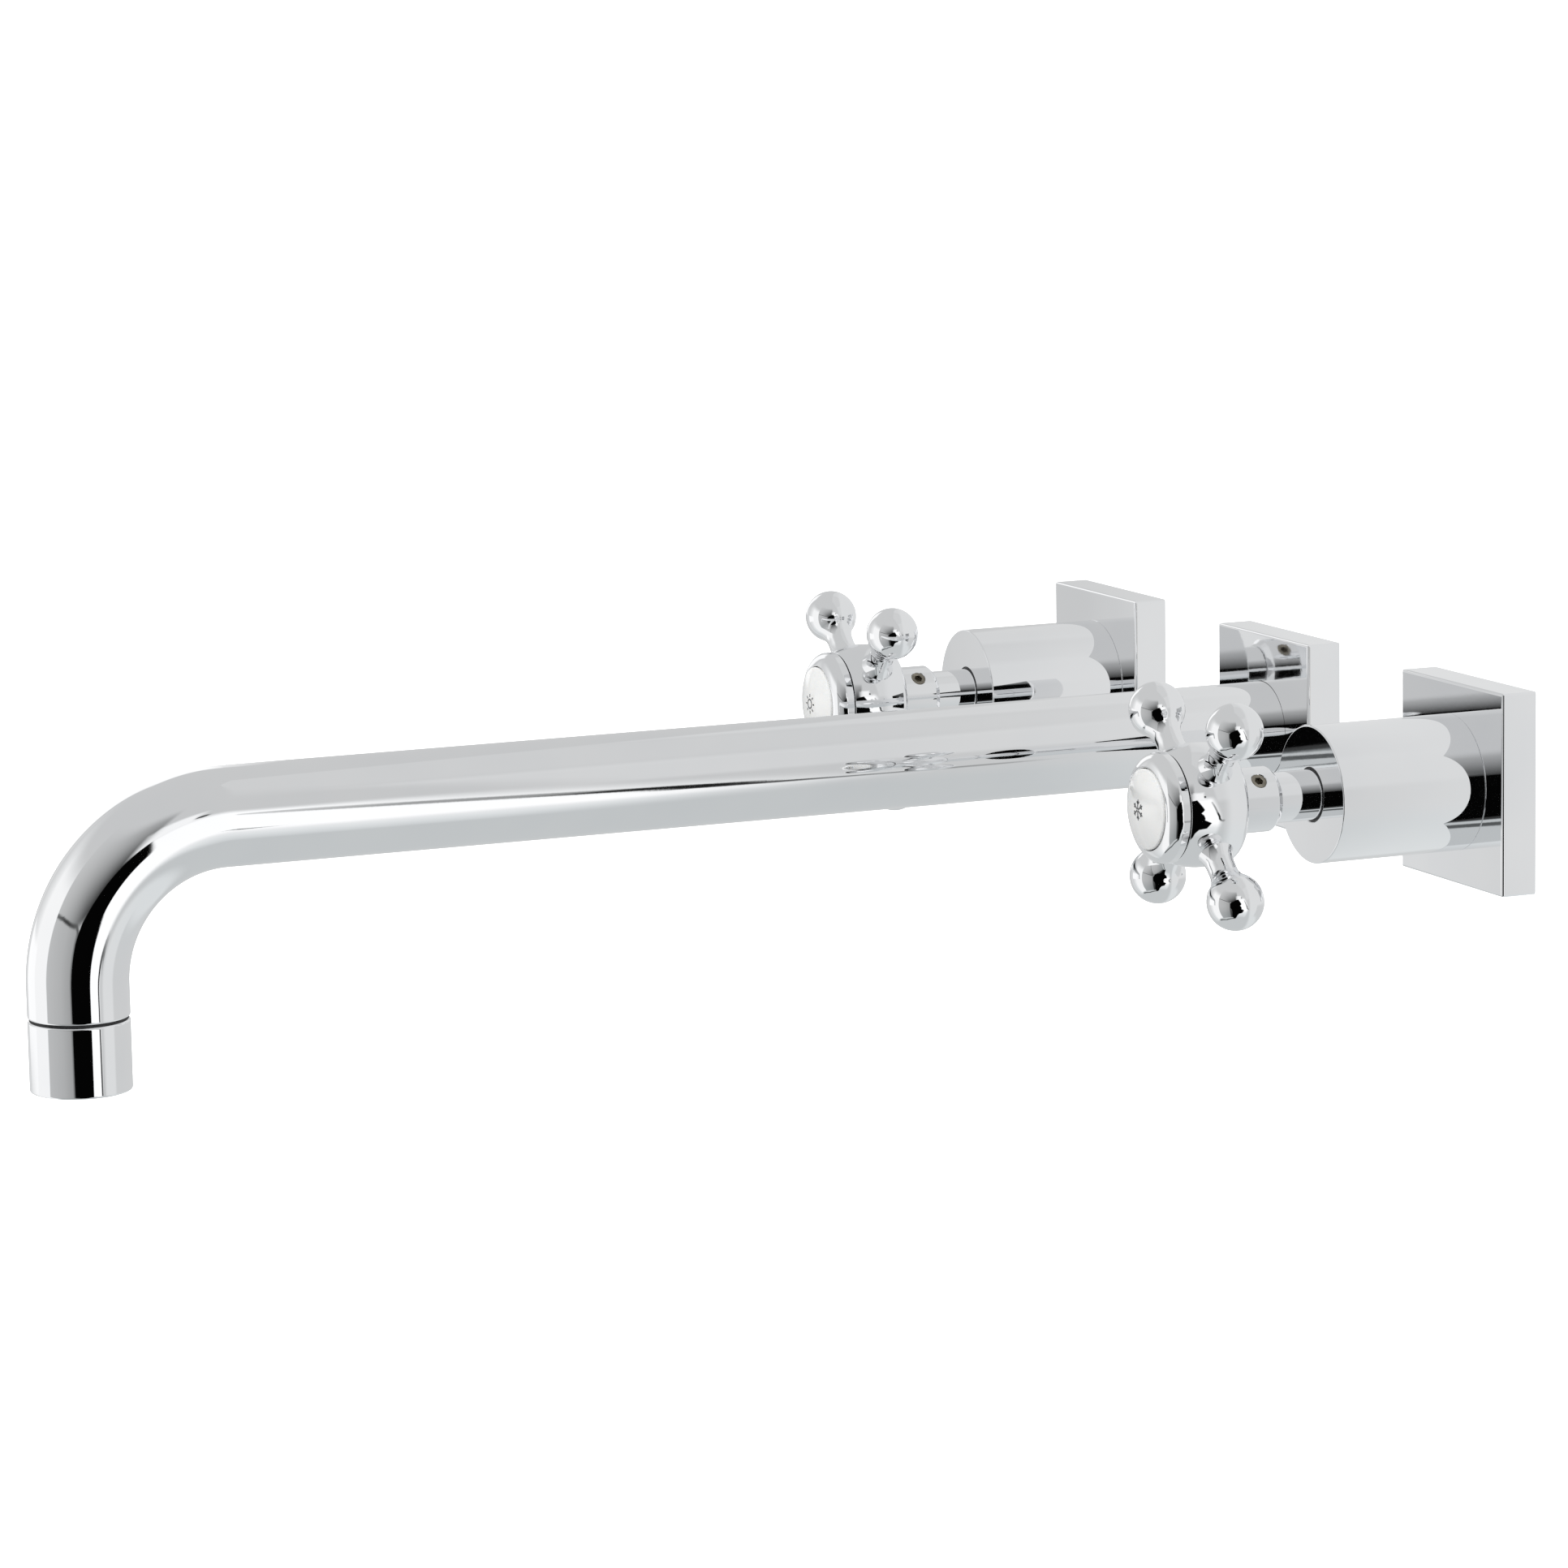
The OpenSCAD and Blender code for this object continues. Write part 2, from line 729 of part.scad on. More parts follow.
module cold_plate() color(chrome) at_cold() plate(carrier_spigot_r + fit);
module cold_plate_gasket() color(rubber) at_cold() plate_gasket(carrier_flange_r + 0.5);
module cold_plate_carrier() color(brass) at_cold() plate_carrier();
module cold_sleeve() color(chrome) at_cold() sleeve();
module cold_stem_guide() color(rubber) at_cold() stem_guide();
module cold_cartridge_shell() color(brass) at_cold() cartridge_shell();
module cold_seat_washer() color(rubber) at_cold() seat_washer();
module cold_fixed_disc() color(ceramic) at_cold() fixed_disc();
module cold_moving_disc() color(ceramic) at_cold() moving_disc();
module cold_spindle() color(brass) at_cold() spindle(1);
module cold_spindle_orings() color(rubber) at_cold() spindle_orings();
module cold_thrust_washer() color(plastic) at_cold() thrust_washer();
module cold_circlip() color(steel) at_cold() circlip();
module cold_stem_extension() color(chrome) at_cold() stem_extension();
module cold_extension_screw() color(steel) at_cold() extension_screw();
module cold_handle_hub() color(chrome) at_cold() handle_hub();
module cold_arm_1() color(chrome) at_cold() arm(1);
module cold_arm_2() color(chrome) at_cold() arm(2);
module cold_arm_3() color(chrome) at_cold() arm(3);
module cold_arm_4() color(chrome) at_cold() arm(4);
module cold_set_screw() color(brass) at_cold() set_screw();
module cold_bezel() color(chrome) at_cold() bezel();
module cold_button() color(ceramic) at_cold() button();
module cold_button_oring() color(rubber) at_cold() button_oring();

spout_plate();
spout_plate_gasket();
spout_plate_oring();
spout_tube();
spout_inlet_adapter();
spout_inlet_seal();
outlet_seal();
aerator_housing();
aerator_washer();
aerator_screen();
aerator_cage();
hot_plate();
hot_plate_gasket();
hot_plate_carrier();
hot_sleeve();
hot_stem_guide();
hot_cartridge_shell();
hot_seat_washer();
hot_fixed_disc();
hot_moving_disc();
hot_spindle();
hot_spindle_orings();
hot_thrust_washer();
hot_circlip();
hot_stem_extension();
hot_extension_screw();
hot_handle_hub();
hot_arm_1();
hot_arm_2();
hot_arm_3();
hot_arm_4();
hot_set_screw();
hot_bezel();
hot_button();
hot_button_oring();
cold_plate();
cold_plate_gasket();
cold_plate_carrier();
cold_sleeve();
cold_stem_guide();
cold_cartridge_shell();
cold_seat_washer();
cold_fixed_disc();
cold_moving_disc();
cold_spindle();
cold_spindle_orings();
cold_thrust_washer();
cold_circlip();
cold_stem_extension();
cold_extension_screw();
cold_handle_hub();
cold_arm_1();
cold_arm_2();
cold_arm_3();
cold_arm_4();
cold_set_screw();
cold_bezel();
cold_button();
cold_button_oring();
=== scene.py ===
"""Looks of the wall mounted bath faucet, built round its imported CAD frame.

Metres, in the frame's own axes: the wall is Y = 0, the faucet stands out towards -Y, +Z is up.
The turned chrome and porcelain parts are rebuilt here with exact surface normals, because
polished metal shows the slightest facet. Everything else is the CAD's own mesh.
"""

import json
import math

import bpy
import numpy as np
from mathutils import Matrix, Vector


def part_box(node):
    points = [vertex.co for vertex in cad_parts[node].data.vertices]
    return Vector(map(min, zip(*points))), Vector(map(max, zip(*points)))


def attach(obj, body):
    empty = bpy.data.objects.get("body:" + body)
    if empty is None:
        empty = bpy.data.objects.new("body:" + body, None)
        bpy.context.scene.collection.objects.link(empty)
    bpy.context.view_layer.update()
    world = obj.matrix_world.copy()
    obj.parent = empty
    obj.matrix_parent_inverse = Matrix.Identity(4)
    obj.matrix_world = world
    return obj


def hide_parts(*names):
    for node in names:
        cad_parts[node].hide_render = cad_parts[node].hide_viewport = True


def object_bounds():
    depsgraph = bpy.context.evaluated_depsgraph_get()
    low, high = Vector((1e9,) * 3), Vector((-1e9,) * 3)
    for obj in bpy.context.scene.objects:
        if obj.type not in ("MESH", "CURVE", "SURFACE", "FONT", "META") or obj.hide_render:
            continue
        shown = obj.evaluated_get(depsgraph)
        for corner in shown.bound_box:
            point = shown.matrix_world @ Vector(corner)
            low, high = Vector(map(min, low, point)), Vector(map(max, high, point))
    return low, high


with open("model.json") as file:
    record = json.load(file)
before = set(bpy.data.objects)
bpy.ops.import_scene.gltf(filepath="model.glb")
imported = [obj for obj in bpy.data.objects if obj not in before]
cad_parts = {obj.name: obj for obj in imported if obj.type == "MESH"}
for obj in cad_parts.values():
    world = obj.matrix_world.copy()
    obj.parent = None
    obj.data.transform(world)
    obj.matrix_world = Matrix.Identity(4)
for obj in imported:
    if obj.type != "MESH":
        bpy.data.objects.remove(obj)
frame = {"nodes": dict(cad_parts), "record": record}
cad_low, cad_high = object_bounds()

MM = 0.001
SIDES = ("hot", "cold")
X = Vector((1, 0, 0))
OUT = Vector((0, -1, 0))
UP = Vector((0, 0, 1))


# ---------------------------------------------------------------- sizes from the frame


def size(node):
    low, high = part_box(node)
    return high - low


def centre(node):
    low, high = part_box(node)
    return (low + high) / 2


def back(node):
    """Distance of a node's wall side from the wall."""
    return -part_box(node)[1].y


def front(node):
    """Distance of a node's far side from the wall."""
    return -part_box(node)[0].y


# ---------------------------------------------------------------- outlines
#
# An outline is a closed loop of (radius, height) corners round a turned part's half section,
# with the outside on its right. A corner may carry a rounding, and an arc may stand between
# two corners. A strip is a smooth run of samples (radius, height, normal along each).

ARC_STEPS = 7
NOTHING = 1e-7


def arc(middle, radius, start, end, steps=ARC_STEPS, hollow=False):
    """A strip round a circle, from one angle to another in degrees. hollow turns its normals in."""
    turn = -1 if hollow else 1
    found = []
    for i in range(steps + 1):
        a = math.radians(start + (end - start) * i / steps)
        c, s = math.cos(a), math.sin(a)
        found.append((middle[0] + radius * c, middle[1] + radius * s, turn * c, turn * s))
    return found


def rounded(before, here, after, radius):
    """The strip that rounds a corner between two straight runs."""
    to_before, to_after = (before - here).normalized(), (after - here).normalized()
    half = to_before.angle(to_after) / 2
    middle = here + (to_before + to_after).normalized() * (radius / math.sin(half))
    start = here + to_before * (radius / math.tan(half)) - middle
    end = here + to_after * (radius / math.tan(half)) - middle
    hollow = start.x * -to_before.y + start.y * to_before.x < 0
    first, last = (math.degrees(math.atan2(v.y, v.x)) for v in (start, end))
    bend = (last - first + 180) % 360 - 180
    return arc(middle, radius, first, first + bend, hollow=hollow)


def strips(outline):
    """Every strip round an outline, with the straight runs between its corners and arcs."""

    def first(part):
        return Vector(part[0][:2] if isinstance(part, list) else part[:2])

    def last(part):
        return Vector(part[-1][:2] if isinstance(part, list) else part[:2])

    shaped = []
    for i, part in enumerate(outline):
        if isinstance(part, tuple) and len(part) == 3:
            following = outline[(i + 1) % len(outline)]
            part = rounded(last(outline[i - 1]), Vector(part[:2]), first(following), part[2])
        shaped.append(part)
    found = []
    for i, part in enumerate(shaped):
        if isinstance(part, list):
            found.append(part)
        p, q = last(part), first(shaped[(i + 1) % len(shaped)])
        run = q - p
        if run.length > NOTHING and max(p.x, q.x) > NOTHING:
            n = Vector((run.y, -run.x)).normalized()
            found.append([(p.x, p.y, n.x, n.y), (q.x, q.y, n.x, n.y)])
    return found


def split(strip, heights):
    """A straight strip with more samples at the given heights."""
    (r0, h0, nr, nh), (r1, h1, _, _) = strip
    inner = sorted((h for h in heights if min(h0, h1) < h < max(h0, h1)), reverse=h1 < h0)
    middle = [(r0 + (r1 - r0) * (h - h0) / (h1 - h0), h, nr, nh) for h in inner]
    return [strip[0], *middle, strip[1]]


# ---------------------------------------------------------------- meshes


def mesh_piece(name, points, faces, normals=None):
    mesh = bpy.data.meshes.new(name)
    mesh.from_pydata([tuple(p) for p in points], [], faces)
    mesh.update()
    if normals is not None:
        mesh.shade_smooth()
        mesh.normals_split_custom_set([tuple(n) for n in normals])
    piece = bpy.data.objects.new(name, mesh)
    bpy.context.scene.collection.objects.link(piece)
    return piece


def straight(origin, along, start=X):
    """Where heights and radii lie round a straight axis."""
    along = along.normalized()
    u = (start - along * start.dot(along)).normalized()
    v = along.cross(u)
    return lambda height: (origin + along * height, u, v, along)


def sweep(outline, place, steps, stations=()):
    """Every strip swept round the axis that place gives: points, faces and corner normals."""
    parts = strips(outline)
    if stations:
        parts = [split(s, stations) if len(s) == 2 else s for s in parts]
    angles = [2 * math.pi * i / steps for i in range(steps)]
    ways = [(math.cos(a), math.sin(a)) for a in angles]
    points, faces, normals = [], [], []

    def ring(sample):
        origin, u, v, _ = place(sample[1])
        start = len(points)
        if sample[0] < NOTHING:
            points.append(origin)
            return [start] * steps
        points.extend(origin + (u * c + v * s) * sample[0] for c, s in ways)
        return [start + i for i in range(steps)]

    def ring_normals(sample):
        _, u, v, along = place(sample[1])
        return [(u * c + v * s) * sample[2] + along * sample[3] for c, s in ways]

    opening = ring(parts[0][0])
    lower = opening
    for p, part in enumerate(parts):
        low_normals = ring_normals(part[0])
        for k, sample in enumerate(part[1:], 1):
            closes = p == len(parts) - 1 and k == len(part) - 1
            reaches = Vector(sample[:2]) - Vector(parts[0][0][:2])
            upper = opening if closes and reaches.length < NOTHING else ring(sample)
            high_normals = ring_normals(sample)
            for i in range(steps):
                j = (i + 1) % steps
                corners = [
                    (lower[i], low_normals[i]),
                    (lower[j], low_normals[j]),
                    (upper[j], high_normals[j]),
                    (upper[i], high_normals[i]),
                ]
                if lower[i] == lower[j]:
                    corners = [corners[0], corners[2], corners[3]]
                elif upper[i] == upper[j]:
                    corners = corners[:3]
                faces.append([c[0] for c in corners])
                normals.extend(c[1] for c in corners)
            lower, low_normals = upper, high_normals
    return points, faces, normals


def turned(name, outline, place, steps, stations=()):
    """A turned part with exact normals."""
    return mesh_piece(name, *sweep(outline, place, steps, stations))


def drilled(swept, spot, along, out, surface_r, hole_r, edge, floor_r):
    """A swept cylinder with a round pocket in its side, seen in the direction out from its axis.

    spot is the point on the axis under the hole. The faces round the hole go, and rings of new
    ones lead from what is left to the hole's edge, down its wall and over its floor.
    """
    points, faces, normals = swept
    across = along.cross(out)
    reach = hole_r + 2 * edge

    def flat(index):
        p = points[index] - spot
        return Vector((p.dot(across), p.dot(along)))

    def covers(face):
        near = [points[i] - spot for i in face]
        if any(p.dot(out) < surface_r / 2 or (p - along * p.dot(along)).length < surface_r - edge
               for p in near):
            return False
        middle = sum((flat(i) for i in face), Vector((0, 0))) / len(face)
        return max(abs(middle.x), abs(middle.y)) < reach

    kept, kept_normals, rim, place = [], [], {}, 0
    for face in faces:
        if covers(face):
            for a, b in zip(face, face[1:] + face[:1]):
                rim[b] = rim.get(b, 0) + 1
        else:
            kept.append(face)
            kept_normals.extend(normals[place:place + len(face)])
        place += len(face)
    loop = sorted((i for i, uses in rim.items() if uses < 4),
                  key=lambda i: math.atan2(flat(i).y, flat(i).x))
    ways = [flat(i).normalized() for i in loop]

    def ring(radius, depth):
        start = len(points)
        for w in ways:
            level = math.sqrt(surface_r**2 - (w.x * radius) ** 2) - depth
            points.append(spot + across * w.x * radius + along * w.y * radius + out * level)
        return list(range(start, len(points)))

    def bridge(lower, upper, low_normal, high_normal):
        for i in range(len(ways)):
            j = (i + 1) % len(ways)
            kept.append([lower[i], lower[j], upper[j], upper[i]])
            kept_normals.extend((low_normal(i), low_normal(j), high_normal(j), high_normal(i)))

    def round_normal(index):
        p = points[index] - spot
        return (p - along * p.dot(along)).normalized()

    def inward(i):
        return -(across * ways[i].x + along * ways[i].y)

    lip, wall = ring(hole_r + edge, 0), ring(hole_r, edge)
    bridge(loop, lip, lambda i: round_normal(loop[i]), lambda i: round_normal(lip[i]))
    bridge(lip, wall, lambda i: out + inward(i), lambda i: out + inward(i))
    floor = [len(points) + i for i in range(len(ways))]
    for w in ways:
        points.append(spot + (across * w.x + along * w.y) * hole_r + out * floor_r)
    bridge(wall, floor, inward, inward)
    kept.append(floor)
    kept_normals.extend([out] * len(floor))
    return points, kept, kept_normals


# ---------------------------------------------------------------- materials


class Look:
    """A node material, with short calls for the nodes that it uses."""

    def __init__(self, name, **surface):
        self.material = bpy.data.materials.new(name)
        self.material.use_nodes = True
        self.tree = self.material.node_tree
        self.surface = self.tree.nodes["Principled BSDF"]
        self.place = self.add("ShaderNodeTexCoord").outputs["Object"]
        for key, value in surface.items():
            self.surface.inputs[key.replace("_", " ")].default_value = value

    def add(self, kind, settings=None, **sockets):
        node = self.tree.nodes.new(kind)
        for key, value in (settings or {}).items():
            setattr(node, key, value)
        for key, value in sockets.items():
            socket = node.inputs[key.replace("_", " ")]
            if isinstance(value, bpy.types.NodeSocket):
                self.tree.links.new(value, socket)
            else:
                socket.default_value = value
        return node

    def noise(self, scale, detail=3.0, roughness=0.5, stretch=None):
        place = self.place
        if stretch:
            mapping = self.add("ShaderNodeMapping", Vector=place, Scale=stretch)
            place = mapping.outputs["Vector"]
        node = self.add("ShaderNodeTexNoise", Vector=place, Scale=scale, Detail=detail,
                        Roughness=roughness)
        return node.outputs["Fac"]

    def cells(self, scale):
        node = self.add("ShaderNodeTexVoronoi", Vector=self.place, Scale=scale)
        return node.outputs["Distance"]

    def rings(self, scale, distortion=0.0):
        node = self.add(
            "ShaderNodeTexWave",
            {"wave_type": "BANDS", "bands_direction": "Y"},
            Vector=self.place, Scale=scale, Distortion=distortion, Detail=2.0,
        )
        return node.outputs["Fac"]

    def ramp(self, factor, *stops):
        """Colours along a factor. Each stop is (position, colour)."""
        node = self.add("ShaderNodeValToRGB", Fac=factor)
        ramp = node.color_ramp
        while len(ramp.elements) < len(stops):
            ramp.elements.new(0.5)
        for element, (position, colour) in zip(ramp.elements, stops):
            element.position, element.color = position, (*colour, 1)
        return node.outputs["Color"]

    def colour(self, factor, *stops):
        self.link(self.ramp(factor, *stops), "Base Color")

    def roughness(self, factor, low, high):
        node = self.add("ShaderNodeMapRange", Value=factor, To_Min=low, To_Max=high)
        self.link(node.outputs["Result"], "Roughness")

    def bump(self, height, depth, strength=1.0):
        node = self.add("ShaderNodeBump", Height=height, Distance=depth, Strength=strength)
        self.link(node.outputs["Normal"], "Normal")

    def link(self, output, socket):
        self.tree.links.new(output, self.surface.inputs[socket])


def chrome_look():
    look = Look("chrome_plate", Metallic=1.0)
    cast = look.noise(38, detail=2)
    look.colour(cast, (0.3, (0.885, 0.892, 0.905)), (0.7, (0.915, 0.918, 0.925)))
    haze = look.noise(260, detail=4)
    look.roughness(haze, 0.012, 0.045)
    look.bump(look.noise(700, detail=2), 0.0000012)
    return look.material


def porcelain_look():
    look = Look("porcelain_glaze", Coat_Weight=1.0, Coat_Roughness=0.03, Subsurface_Weight=0.15,
                Subsurface_Scale=0.002, IOR=1.5)
    look.surface.inputs["Subsurface Radius"].default_value = (1.0, 0.9, 0.8)
    look.colour(look.noise(90, detail=4), (0.3, (0.915, 0.912, 0.898)), (0.7, (0.935, 0.933, 0.922)))
    look.roughness(look.noise(900), 0.10, 0.20)
    look.bump(look.noise(160, detail=2), 0.000006)
    return look.material


def brass_look(name, light, dark, rough, ridges):
    look = Look(name, Metallic=1.0)
    look.colour(look.noise(240, detail=6, roughness=0.65), (0.35, dark), (0.65, light))
    look.roughness(look.noise(800, detail=4), rough, rough + 0.16)
    look.bump(look.rings(ridges, distortion=0.6), 0.000012)
    return look.material


def rubber_look():
    # Black rubber for the seals. The dark rubber outlet seal in the spout's seam is also a stand-in
    # for the shade inside that gap.
    look = Look("rubber_and_seam_shade", Specular_IOR_Level=0.35)
    look.colour(look.noise(900, detail=5), (0.3, (0.014, 0.014, 0.015)), (0.7, (0.034, 0.034, 0.036)))
    look.roughness(look.noise(1500), 0.55, 0.75)
    look.bump(look.cells(2600), 0.00003, 0.6)
    return look.material


def plastic_look(name, dark, light, rough):
    look = Look(name)
    look.colour(look.noise(500, detail=4), (0.35, dark), (0.65, light))
    look.roughness(look.noise(1800), rough, rough + 0.14)
    look.bump(look.noise(3200, detail=5), 0.000015)
    return look.material


def steel_look():
    look = Look("steel_wire", Metallic=1.0)
    look.colour(look.noise(900, detail=4), (0.3, (0.42, 0.43, 0.45)), (0.7, (0.62, 0.63, 0.65)))
    look.roughness(look.noise(400, detail=6, stretch=(1, 14, 1)), 0.22, 0.42)
    look.bump(look.noise(1200, stretch=(1, 10, 1)), 0.00001)
    return look.material


def ceramic_look():
    look = Look("lapped_ceramic", Coat_Weight=0.2)
    look.colour(look.noise(1400, detail=6), (0.3, (0.84, 0.825, 0.78)), (0.7, (0.93, 0.92, 0.88)))
    look.roughness(look.noise(2600), 0.22, 0.34)
    look.bump(look.noise(3600, detail=4), 0.000004)
    return look.material


def ink_look():
    look = Look("fired_ink", Coat_Weight=0.6, Coat_Roughness=0.08)
    look.colour(look.noise(2400, detail=5), (0.3, (0.012, 0.013, 0.016)), (0.7, (0.035, 0.037, 0.042)))
    look.roughness(look.noise(3000), 0.18, 0.34)
    look.bump(look.noise(5200), 0.000006)
    return look.material


LOOKS = {
    "chrome": chrome_look(),
    "porcelain": porcelain_look(),
    "brass": brass_look("machined_brass", (0.74, 0.58, 0.30), (0.60, 0.44, 0.20), 0.18, 900),
    # The set screw's brass is far darker than the machined brass. This dark colour is painted shade,
    # standing in for the shade down in the screw's socket.
    "screw_brass": brass_look("screw_brass", (0.40, 0.37, 0.31), (0.15, 0.135, 0.11), 0.28, 1400),
    "rubber": rubber_look(),
    "black_plastic": plastic_look("black_nylon", (0.014, 0.014, 0.015), (0.03, 0.03, 0.031), 0.34),
    "white_plastic": plastic_look("white_acetal", (0.78, 0.78, 0.75), (0.88, 0.88, 0.85), 0.3),
    "steel": steel_look(),
    "ceramic": ceramic_look(),
}
INK = ink_look()


def finish_piece(piece, body, slot, nodes=(), look=None):
    """Gives a new piece its look, its own or its slot's, and its body, and hides the CAD nodes that it
    stands for.
    """
    piece.data.materials.append(look or LOOKS[slot])
    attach(piece, body)
    if nodes:
        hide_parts(*nodes)


def dress_frame():
    """Puts this script's looks on the CAD nodes, each by the slot that the record names."""
    slot_of = {s["node"]: s["material_slot"] for s in frame["record"]["subparts"]}
    for name, node in frame["nodes"].items():
        node.data.materials.clear()
        node.data.materials.append(LOOKS[slot_of[name]])


# ---------------------------------------------------------------- spout

FINE_STEPS = 160
SMALL_STEPS = 96
FIT = 0.05 * MM
TUBE_WALL = 1.4 * MM
BEND_R = 38.9 * MM
BEND_STEPS = 45
SEAM_ROUND = 0.6 * MM
TIP_ROUND = 0.6 * MM
BORE_ROUND = 0.25 * MM
THROAT_STEP = 2.16 * MM


def build_tube():
    radius = size("spout_tube").x / 2
    outlet = front("spout_tube") - radius
    start = back("spout_tube")
    drop = -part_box("spout_tube")[0].z
    bend_start = outlet - BEND_R
    bend_end = bend_start + BEND_R * math.pi / 2
    end = bend_end + drop - BEND_R
    hub = OUT * bend_start - UP * BEND_R

    def path(height):
        if height <= bend_start:
            return OUT * height, X, OUT.cross(X), OUT
        if height >= bend_end:
            along = -UP
            return OUT * outlet + along * (BEND_R + height - bend_end), X, along.cross(X), along
        a = (height - bend_start) / BEND_R
        along = OUT * math.cos(a) - UP * math.sin(a)
        return hub + BEND_R * (OUT * math.sin(a) + UP * math.cos(a)), X, along.cross(X), along

    stations = [bend_start + (bend_end - bend_start) * i / BEND_STEPS for i in range(BEND_STEPS + 1)]
    outline = [
        (radius, start),
        (radius, end, SEAM_ROUND),
        (radius - TUBE_WALL, end),
        (radius - TUBE_WALL, start),
    ]
    tube = turned("tube_shell", outline, path, FINE_STEPS, stations)
    finish_piece(tube, "root", "chrome", ["spout_tube"])


def build_outlet_ring():
    middle = centre("aerator_housing")
    low, high = (corner.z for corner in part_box("aerator_housing"))
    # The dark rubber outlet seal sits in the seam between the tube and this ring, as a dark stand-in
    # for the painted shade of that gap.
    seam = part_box("outlet_seal")[0].z
    radius = size("aerator_housing").x / 2
    bore = size("aerator_cage").x / 2 + FIT
    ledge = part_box("aerator_washer")[1].z
    throat = bore - THROAT_STEP
    spigot = radius - TUBE_WALL - FIT
    outline = [
        (bore, low, BORE_ROUND),
        (radius, low, TIP_ROUND),
        (radius, seam, SEAM_ROUND),
        (spigot, seam),
        (spigot, high),
        (throat, high),
        (throat, ledge),
        (bore, ledge),
    ]
    place = straight(Vector((middle.x, middle.y, 0)), UP)
    ring = turned("outlet_ring", outline, place, FINE_STEPS)
    finish_piece(ring, "root", "chrome", ["aerator_housing"])


# ---------------------------------------------------------------- sleeves and stems

SLEEVE_WALL = 1.34 * MM
SLEEVE_FRONT = 2.5 * MM
SLEEVE_EDGE = 0.35 * MM
SLEEVE_BACK_EDGE = 0.2 * MM
STEM_GAP = 0.55 * MM
STEM_HOLE_EDGE = 0.25 * MM
STEM_END_EDGE = 0.3 * MM
STEM_SHOULDER_EDGE = 0.15 * MM
STEM_NECK_R = 5 * MM
STEM_NECK_EDGE = 0.2 * MM
STEM_SOCKET_R = 3.6 * MM
STEM_SOCKET_DEPTH = 12 * MM
STEM_BORE_R = 2.15 * MM


def side_axis(side):
    return straight(Vector((centre(f"{side}_sleeve").x, 0, 0)), OUT)


def build_sleeve(side):
    node = f"{side}_sleeve"
    radius = size(node).x / 2
    hole = size(f"{side}_stem_extension").x / 2 + STEM_GAP
    low, high = back(node), front(node)
    outline = [
        (radius - SLEEVE_WALL, low),
        (radius, low, SLEEVE_BACK_EDGE),
        (radius, high, SLEEVE_EDGE),
        (hole, high, STEM_HOLE_EDGE),
        (hole, high - SLEEVE_FRONT),
        (radius - SLEEVE_WALL, high - SLEEVE_FRONT),
    ]
    sleeve = turned(f"{side}_sleeve_shell", outline, side_axis(side), FINE_STEPS)
    finish_piece(sleeve, "root", "chrome", [node])


def build_stem(side):
    node = f"{side}_stem_extension"
    radius = size(node).x / 2
    shoulder = back(f"{side}_handle_hub") - 0.1 * MM
    seat = front(node) - STEM_SOCKET_DEPTH
    outline = [
        (STEM_BORE_R, back(node)),
        (radius, back(node), STEM_END_EDGE),
        (radius, shoulder, STEM_SHOULDER_EDGE),
        (STEM_NECK_R, shoulder),
        (STEM_NECK_R, front(node), STEM_NECK_EDGE),
        (STEM_SOCKET_R, front(node)),
        (STEM_SOCKET_R, seat),
        (STEM_BORE_R, seat),
    ]
    stem = turned(f"{side}_stem", outline, side_axis(side), SMALL_STEPS)
    finish_piece(stem, f"{side}_handle", "chrome", [node])


# ---------------------------------------------------------------- handles

COLLAR_R = 8.2 * MM
COLLAR_H = 12.6 * MM
COLLAR_CHAMFER = (1.3 * MM, 1.5 * MM)
COLLAR_BACK_EDGE = 0.3 * MM
COLLAR_CHAMFER_EDGE = 0.5 * MM
COLLAR_NECK = 0.35 * MM
COLLAR_NECK_START = 0.5 * MM
THIN_EDGE = 0.12 * MM
CROWN_R = 35 * MM
BACK_ROUND = 2.6 * MM
NOSE_R = 19 * MM
NOSE_EDGE = 0.3 * MM
HUB_BORE = 5.05 * MM
HUB_BORE_SPARE = 0.5 * MM
RECESS_R = 11.55 * MM
RECESS_EDGE = 0.15 * MM
RECESS_SPARE = 0.2 * MM
SCREW_HOLE_R = 2 * MM
SCREW_HOLE_EDGE = 0.15 * MM
SCREW_HOLE_FLOOR = 5.6 * MM
SCREW_ROW = 0.6 * MM


def inside_fillet(big_middle, big_r, radius, height):
    """The middle and tangent angle of a fillet inside a big circle, at a given height."""
    rise = height - big_middle[1]
    run = math.sqrt((big_r - radius) ** 2 - rise**2)
    return (big_middle[0] + run, height), math.degrees(math.atan2(rise, run))


